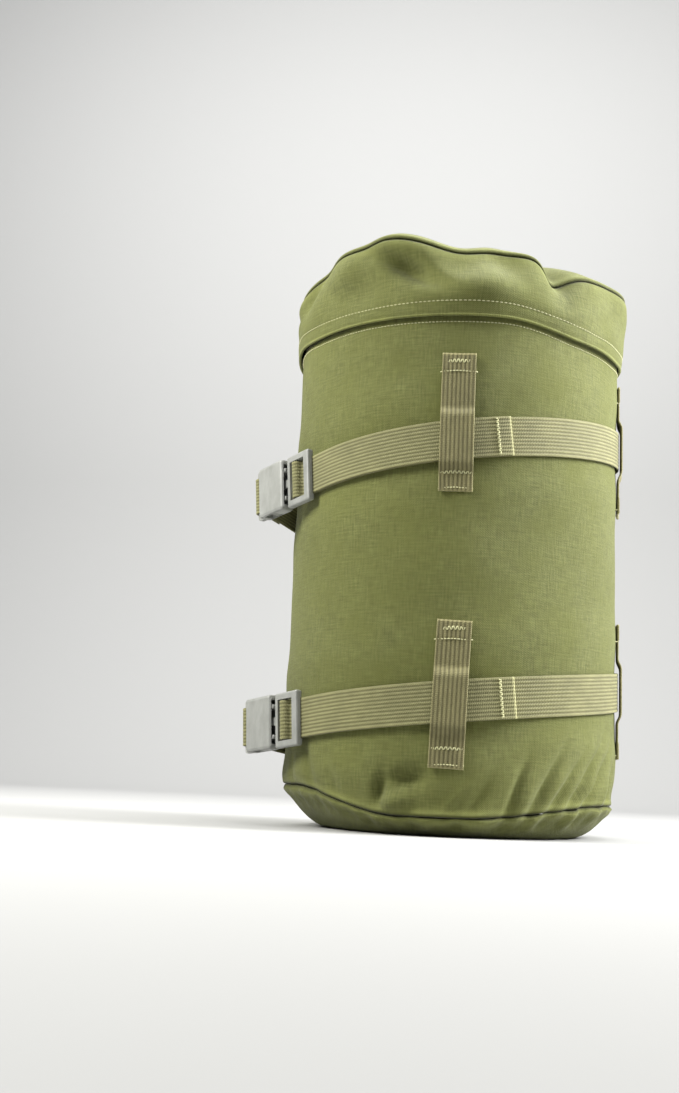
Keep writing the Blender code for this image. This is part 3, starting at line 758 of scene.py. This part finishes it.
def web_piece(name, stations, width, thickness, ribs, bow=0.0, step=0.0016, swell=None, waver=0.0, seed=0):
    """A ribbon of webbing along stations. swell(distance, length) changes its thickness."""
    centres, across, at = smooth_path(stations, step)
    tangent = unit(np.gradient(centres, axis=0))
    normal = unit(np.cross(tangent, across))
    across = unit(np.cross(normal, tangent))
    if waver:
        centres = centres + across * (waver * ripple(at, 0 * at, 0.07, seed))[:, None]
    section = web_section(width, thickness, ribs, bow)
    thick = np.ones(len(at)) if swell is None else swell(at, at[-1])
    points = (centres[:, None] + across[:, None] * section[None, :, :1]
              + normal[:, None] * (section[None, :, 1:] * thick[:, None, None]))
    rows, columns = points.shape[:2]
    faces = [f[::-1] for f in grid_faces(rows, columns, ring=True)]
    faces += [list(range(columns)), list(range((rows - 1) * columns, rows * columns))[::-1]]
    uv = np.stack(np.broadcast_arrays(at[:, None], section[None, :, 0]), -1)
    selvage = bell(width / 2 - np.abs(section[None, :, 0]), 0.0009)
    end = bell(np.minimum(at, at[-1] - at)[:, None], 0.0009)
    wear = np.clip(0.22 * selvage + 0.75 * end, 0, 1)
    obj = add_piece(name, points.reshape(-1, 3), faces, uv.reshape(-1, 2), {"wear": wear.ravel()})
    return obj, (centres, across, normal, at)


def strap_route(strap):
    free_us = (0.020, 0.027, 0.034, 0.040)
    low = np.linspace(CORNER_AZ - math.radians(1.5), LEAVE_AZ + 0.03, 60)
    stations = [strap_station(strap, az, LOW_LIFT) for az in low]
    stations += [buckle_point(strap, u, LOW_W) for u in reversed(free_us)]
    up = [(0.0140, -0.0036), (0.0119, -0.0030), (0.0108, -0.0016)]
    down = [(0.0167, -0.0011), (0.0180, -0.0018)]
    stations += [buckle_point(strap, u, w) for u, w in up + loop_points(LADDER_BAR_U, 0.0029, 180, 0) + down]
    stations += [buckle_point(strap, u, HIGH_W) for u in free_us]
    high = np.linspace(LEAVE_AZ + 0.03, TAIL_AZ[strap], 24)
    stations += [strap_station(strap, az, HIGH_LIFT) for az in high]
    return stations


def web_leg(strap, out, distances):
    """Stations from the socket's tail bar towards the drum, a distance out from the web's middle line."""
    bar_reach = RUN - TAIL_BAR_U
    bar_radius = math.hypot(RADIUS + PLANE_LIFT, bar_reach)
    touch_radius = RADIUS + LOW_LIFT + WEB_LOOP_RADIUS
    bend = math.atan(bar_reach / (RADIUS + PLANE_LIFT)) + math.acos(touch_radius / bar_radius)
    length = math.sqrt(bar_radius**2 - touch_radius**2)
    bar, along, across, outward = buckle_axes(strap)
    bar = bar + along * TAIL_BAR_U
    away = -along * math.cos(bend) - outward * math.sin(bend)
    aside = outward * math.cos(bend) - along * math.sin(bend)
    touch, touch_across = strap_station(strap, LEAVE_AZ - bend, LOW_LIFT + WEB_LOOP_RADIUS + out)
    correction = touch - (bar + away * length + aside * out)
    stations = []
    for distance in distances:
        share = max(distance, 0) / length
        place = bar + away * distance + aside * out + correction * share
        stations.append((place, unit(across * (1 - share) + touch_across * share)))
    return stations, LEAVE_AZ - bend, length


def make_strap(strap):
    """Returns the stitch row that holds the strap's folded end."""
    def hem(at, length):
        return 1 + 0.55 * ease((at - length + 0.0125) / 0.0015)

    obj, path = web_piece(
        strap + "_strap_web", strap_route(strap), STRAP_WIDTH, STRAP_T, STRAP_RIBS, swell=hem, step=0.0018,
    )
    finish_piece(obj, STRAP_WEB, "sack", "strap_webbing", [strap + "_strap"])
    centres, across, normal, at = path
    row = at[-1] - 0.0082
    index = int(np.argmin(np.abs(at - row)))
    v = np.linspace(-STRAP_WIDTH / 2 + 0.001, STRAP_WIDTH / 2 - 0.001, 19)[:, None]
    tangent = unit(centres[index] - centres[index - 1])
    zigzag = np.where(np.arange(len(v)) % 2, 0.0011, -0.0011)[:, None]
    line = centres[index] + across[index] * v + tangent * zigzag + normal[index] * 0.00115
    return [(line, np.tile(normal[index], (len(line), 1)))]


def make_anchor_web(strap):
    """Returns its stitch rows and the squash worked out for it: direction, seam point and factor."""
    radius = WEB_LOOP_RADIUS
    _, touch_az, length = web_leg(strap, -radius, [0])
    low = np.linspace(math.radians(1.5) - CORNER_AZ, touch_az - 0.05, 8)
    stations = [strap_station(strap, az, LOW_LIFT) for az in low]
    stations += web_leg(strap, -radius, np.linspace(length * 0.93, 0.003, 7))[0]
    for angle in np.radians(np.linspace(-90, 90, 9)):
        stations += web_leg(strap, radius * math.sin(angle), [-radius * math.cos(angle)])[0]
    stations += web_leg(strap, 0.0023, [0.0032])[0] + web_leg(strap, 0.0003, [0.0062])[0]
    stations += web_leg(strap, -0.0011, np.linspace(0.0095, 0.0245, 4))[0]
    obj, path = web_piece(strap + "_anchor_webbing", stations, STRAP_WIDTH, STRAP_T, STRAP_RIBS)
    finish_piece(obj, STRAP_WEB, "sack", "strap_webbing", [strap + "_anchor_web"])
    along = buckle_axes(strap)[1]
    seam = stations[0][0]
    tail = buckle_point(strap, TAIL_BAR_U, 0)[0]
    span = float((tail - seam) @ along)
    squash = tuple(along), tuple(seam), 1 - RELEASE / span
    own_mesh(obj)
    centres, across, normal, at = path
    rows = []
    for back in (0.003, 0.009):
        index = int(np.argmin(np.abs(at - at[-1] + back)))
        v = np.linspace(-STRAP_WIDTH / 2 + 0.002, STRAP_WIDTH / 2 - 0.002, 16)[:, None]
        line = centres[index] + across[index] * v + normal[index] * 0.0007
        rows.append((line, np.tile(normal[index], (len(line), 1))))
    return rows, squash


def keeper_lift(z, strap_z, arch):
    half, ramp = STRAP_WIDTH / 2 + 0.0022, 0.0065
    return 0.0010 + arch * ease((half + ramp - np.abs(z - strap_z)) / ramp)


def make_keeper(name, azimuth, middle_z, strap_z, arch, lean, seed):
    """Returns the stitch rows that hold the keeper's ends."""
    bottom = middle_z - KEEPER_LENGTH / 2
    zs = np.linspace(bottom, bottom + KEEPER_LENGTH, 45)
    drift = azimuth + lean * (zs - middle_z) / RADIUS
    lifts = keeper_lift(zs, strap_z, arch)
    stations = [(drum(a, z, lift), around(a)) for a, z, lift in zip(drift, zs, lifts)]

    def folded_ends(at, length):
        from_end = np.minimum(at, length - at)
        pressed = bell(from_end - 0.0115, 0.0010) * 0.35
        return 1 + 0.35 * ease((0.0125 - from_end) / 0.001) - pressed

    obj, _ = web_piece(
        name + "_web", stations, KEEPER_WIDTH, STRAP_T, KEEPER_RIBS,
        bow=0.5 / RADIUS, step=0.0014, swell=folded_ends, waver=0.0002, seed=seed,
    )
    finish_piece(obj, KEEPER_WEB, "sack", "keeper_webbing", [name])
    rows = []
    half = KEEPER_WIDTH / 2
    for height, reach, zigzag in (
        (KEEPER_LENGTH - 0.0050, half - 0.0015, 0.0016), (KEEPER_LENGTH - 0.0115, half + 0.0014, 0.0),
        (0.0118, half - 0.0010, 0.0012), (0.0022, half + 0.0004, 0.0),
    ):
        v = np.linspace(-reach, reach, 16 if zigzag else 13)
        turns = zigzag * np.where(np.arange(len(v)) % 2, 1, -1)
        z = bottom + height + turns + 0.0003 * ripple(v, 0 * v, 0.01, seed + 5)
        here = azimuth + lean * (height - KEEPER_LENGTH / 2) / RADIUS
        over = np.where(np.abs(v) < half, 0.00098, -0.0009)
        line = drum(here + v / RADIUS, z, keeper_lift(z, strap_z, arch) + over)
        rows.append((line, unit(line * (1, 1, 0))))
    return rows


# Stitching

def stitch_piece(name, rows, material, body, slot, length_share=0.72, radius=0.00026, sink=0.0001):
    """Thread capsules laid end to end along rows of points. A row is (points, outward directions)."""
    turns = np.linspace(0, 2 * math.pi, 6, endpoint=False)
    along = np.array((-0.5, -0.42, -0.2, 0.2, 0.42, 0.5))
    girth = np.array((0.15, 0.72, 1.0, 1.0, 0.72, 0.15))
    sag = np.array((-0.9, -0.35, 0.0, 0.0, -0.35, -0.9))
    points, faces = [], []
    for line, outward in rows:
        for a, b, out in zip(line, line[1:], outward):
            span = b - a
            size = np.linalg.norm(span)
            if size < 1e-6:
                continue
            tangent = span / size
            side = unit(np.cross(out, tangent))
            up = np.cross(tangent, side)
            middle = (a + b) / 2 - out * sink
            base = len(points) * 36
            circle = side * np.cos(turns)[:, None] + up * np.sin(turns)[:, None]
            ring = (middle + tangent * (along * size * length_share)[:, None, None]
                    + up * (sag * radius)[:, None, None]
                    + radius * girth[:, None, None] * circle)
            points.append(ring.reshape(-1, 3))
            faces += [[base + i for i in f] for f in STITCH_FACES]
    obj = add_piece(name, np.concatenate(points), faces)
    return finish_piece(obj, material, body, slot)


STITCH_FACES = [f[::-1] for f in grid_faces(6, 6, ring=True)] + [list(range(6)), list(range(30, 36))[::-1]]


def arc_row(z_of, lift_of, end_az, pitch):
    azimuth = np.arange(-end_az, end_az, pitch / RADIUS)
    line = drum(azimuth, z_of(azimuth), lift_of(azimuth))
    return line, unit(line * (1, 1, 0))


def make_seam_stitches():
    def on_skirt(azimuth):
        share = TOPSTITCH_UP / (lid_seam_z(azimuth) - hem_z(azimuth))
        return skirt_lift(azimuth, share) - 0.0001

    topstitch = arc_row(lambda a: hem_z(a) + TOPSTITCH_UP, on_skirt, FLAP_END_AZ - 0.01, 0.0027)
    stitch_piece("flap_topstitch", [topstitch], THREAD, "lid", "nylon_fabric", radius=0.00032)
    def row_z(azimuth):
        return hem_z(azimuth) - ZIP_SEAM_DOWN

    below = arc_row(row_z, lambda a: body_lift(a, row_z(a)) + 0.0003, FLAP_END_AZ, 0.0023)
    stitch_piece("zip_seam_stitches", [below], THREAD, "sack", "nylon_fabric", radius=0.00034)


# Zip

def teeth_piece(name, side, body, node):
    """Moulded coil teeth along one tape. side is 1 for the lid's row and -1 for the sack's."""
    pitch = 0.0021
    shift = pitch / 2 / RADIUS if side > 0 else 0
    azimuths = np.arange(-ZIP_END_AZ + 0.01, ZIP_END_AZ - 0.01, pitch / RADIUS) + shift
    bm = bmesh.new()
    for azimuth in azimuths:
        outward = Vector(drum(azimuth, 0.0, 1 - RADIUS))
        rotation = Matrix((Vector(around(azimuth)), Vector(UP), outward)).transposed().to_4x4()
        place = Matrix.Translation(drum(azimuth, ZIP_Z + side * 0.0014, -0.00215)) @ rotation
        made = bmesh.ops.create_cube(bm, size=1, matrix=place @ Matrix.Diagonal((0.00135, 0.0016, 0.0018, 1)))
        edges = list({e for v in made["verts"] for e in v.link_edges})
        bmesh.ops.bevel(bm, geom=edges, offset=0.0003, segments=1, affect="EDGES")
    mesh = bpy.data.meshes.new(name)
    bm.to_mesh(mesh)
    bm.free()
    mesh.shade_smooth()
    mesh.set_sharp_from_angle(angle=math.radians(40))
    finish_piece(add_object(name, mesh), COIL, body, "zip_coil", [node])


# CAD nodes that stay

def dress(node, material, bevel=0.0):
    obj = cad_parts[node]
    obj.data.materials.clear()
    obj.data.materials.append(material)
    if bevel:
        weld = obj.modifiers.new("weld", "WELD")
        weld.merge_threshold = 0.00001
        rounding = obj.modifiers.new("rounding", "BEVEL")
        rounding.width = bevel
        rounding.segments = 3
        rounding.limit_method = "ANGLE"
        rounding.angle_limit = math.radians(35)
        rounding.harden_normals = True
    return obj


def dress_cad_nodes():
    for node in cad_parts:
        if "buckle" in node:
            dress(node, PLASTIC, 0.0004)
        elif node in ("zip_slider", "zip_pull") or node.endswith("zip_stop"):
            dress(node, BRONZE, 0.00015)
        elif node.endswith(("left_seam_binding", "right_seam_binding", "zip_tape")):
            dress(node, TAPE)


# Stage, lights, camera

def add_light(name, location, target, size, power, colour=(1, 1, 1)):
    light = bpy.data.lights.new(name, "AREA")
    light.shape = "RECTANGLE"
    light.size, light.size_y = size
    light.energy = power
    light.color = colour
    obj = add_object(name, light)
    obj.location = location
    obj.rotation_euler = (Vector(target) - Vector(location)).to_track_quat("-Z", "Y").to_euler()


def make_stage():
    """A pale floor that curves up behind the sack, and soft lights at both sides, above and behind."""
    turn = np.linspace(0, math.pi / 2, 17)
    bend = np.column_stack((1.3 + 0.7 * np.sin(turn), 0.7 - 0.7 * np.cos(turn)))
    profile = np.concatenate(([(-5.0, 0.0)], bend, [(2.0, 4.0)]))
    x = np.linspace(-5, 5, 3)
    points = np.array([[(across, y, z - 0.0002) for across in x] for y, z in profile])
    floor = grid_piece("floor", points, points[..., :2], thickness=0)
    pale = Shader("pale_floor", 0.9, Base_Color=(0.36, 0.36, 0.355, 1), Specular_IOR_Level=0.1)
    floor.data.materials.append(pale.material)
    world = bpy.data.worlds.new("studio")
    world.use_nodes = True
    world.node_tree.nodes["Background"].inputs["Color"].default_value = (1, 1, 1, 1)
    world.node_tree.nodes["Background"].inputs["Strength"].default_value = 0.26
    bpy.context.scene.world = world
    add_light("right_softbox", (0.90, -0.10, 0.66), (0, 0, 0.24), (0.35, 0.6), 32)
    add_light("left_softbox", (-0.78, -0.40, 0.78), (0, 0, 0.28), (0.3, 0.5), 18, (1, 0.99, 0.93))
    add_light("top_softbox", (0.15, -0.35, 1.35), (0, 0, 0.36), (0.5, 0.4), 8)
    add_light("backdrop_light", (0.0, 0.5, 1.9), (0, 2.0, 0.5), (2.4, 0.6), 70)


def make_camera():
    """A camera that stands low in front of the sack, tilted up, turned and rolled a little."""
    pitch, roll, yaw = (math.radians(a) for a in (10.37, 2.50, -4.89))
    level_right = Vector((math.cos(yaw), -math.sin(yaw), 0))
    ahead = Vector((math.sin(yaw), math.cos(yaw), 0))
    forward = ahead * math.cos(pitch) + Vector(UP) * math.sin(pitch)
    level_up = -ahead * math.sin(pitch) + Vector(UP) * math.cos(pitch)
    right = level_right * math.cos(roll) + level_up * math.sin(roll)
    up = level_up * math.cos(roll) - level_right * math.sin(roll)
    data = bpy.data.cameras.new("camera")
    camera = add_object("camera", data)
    rotation = Matrix((right, up, -forward)).transposed().to_4x4()
    camera.matrix_world = Matrix.Translation((-0.0042, -0.875, 0.030)) @ rotation
    data.sensor_width = 36
    data.lens = 1279 / 1093 * data.sensor_width
    data.clip_start = 0.01
    bpy.context.scene.camera = camera


make_stage()
make_camera()
dress_cad_nodes()
make_front()
back = flat_panel("back_cloth", SEAM_Z, ZIP_Z - BACK_GAP, 61, bottom_seam=True, top_seam=False)
finish_piece(back, NYLON, "sack", "nylon_fabric", ["back_panel"])
make_base()
make_inner_bindings()
make_skirt()
make_lid_top()
lid_back = flat_panel(
    "lid_back_cloth", ZIP_Z + BACK_GAP, LID_SEAM_Z - 0.0006, 62, bottom_seam=False, top_seam=True,
)
finish_piece(lid_back, NYLON, "lid", "nylon_fabric", ["lid_back_band"])
make_hinge()
make_seam_stitches()
for strap_name, (front_z, rise, middle_z) in STRAPS.items():
    tail_rows = make_strap(strap_name)
    stitch_piece(strap_name + "_tail_stitches", tail_rows, THREAD, "sack", "strap_webbing", 0.8, 0.00046)
    rows, squash = make_anchor_web(strap_name)
    tack = stitch_piece(strap_name + "_anchor_stitches", rows, THREAD, "sack", "strap_webbing")
    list(squash)
    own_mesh(tack)
    right_z = front_z + rise * RADIUS * RIGHT_KEEPER_AZ
    lean = 0.035 if strap_name == "lower" else 0.004
    keeper_rows = make_keeper(
        strap_name + "_front_keeper", 0, middle_z, front_z, HIGH_LIFT + 0.0010, lean, 71,
    )
    keeper_rows += make_keeper(
        strap_name + "_right_keeper", RIGHT_KEEPER_AZ, right_z, right_z, LOW_LIFT + 0.0010, 0, 74,
    )
    stitch_piece(
        strap_name + "_keeper_stitches", keeper_rows, THREAD, "sack", "keeper_webbing", 0.85, 0.00038,
    )
teeth_piece("lower_teeth", -1, "sack", "lower_zip_teeth")
teeth_piece("upper_teeth", 1, "lid", "upper_zip_teeth")

bpy.context.scene.view_settings.view_transform = "Standard"
bpy.context.view_layer.update()
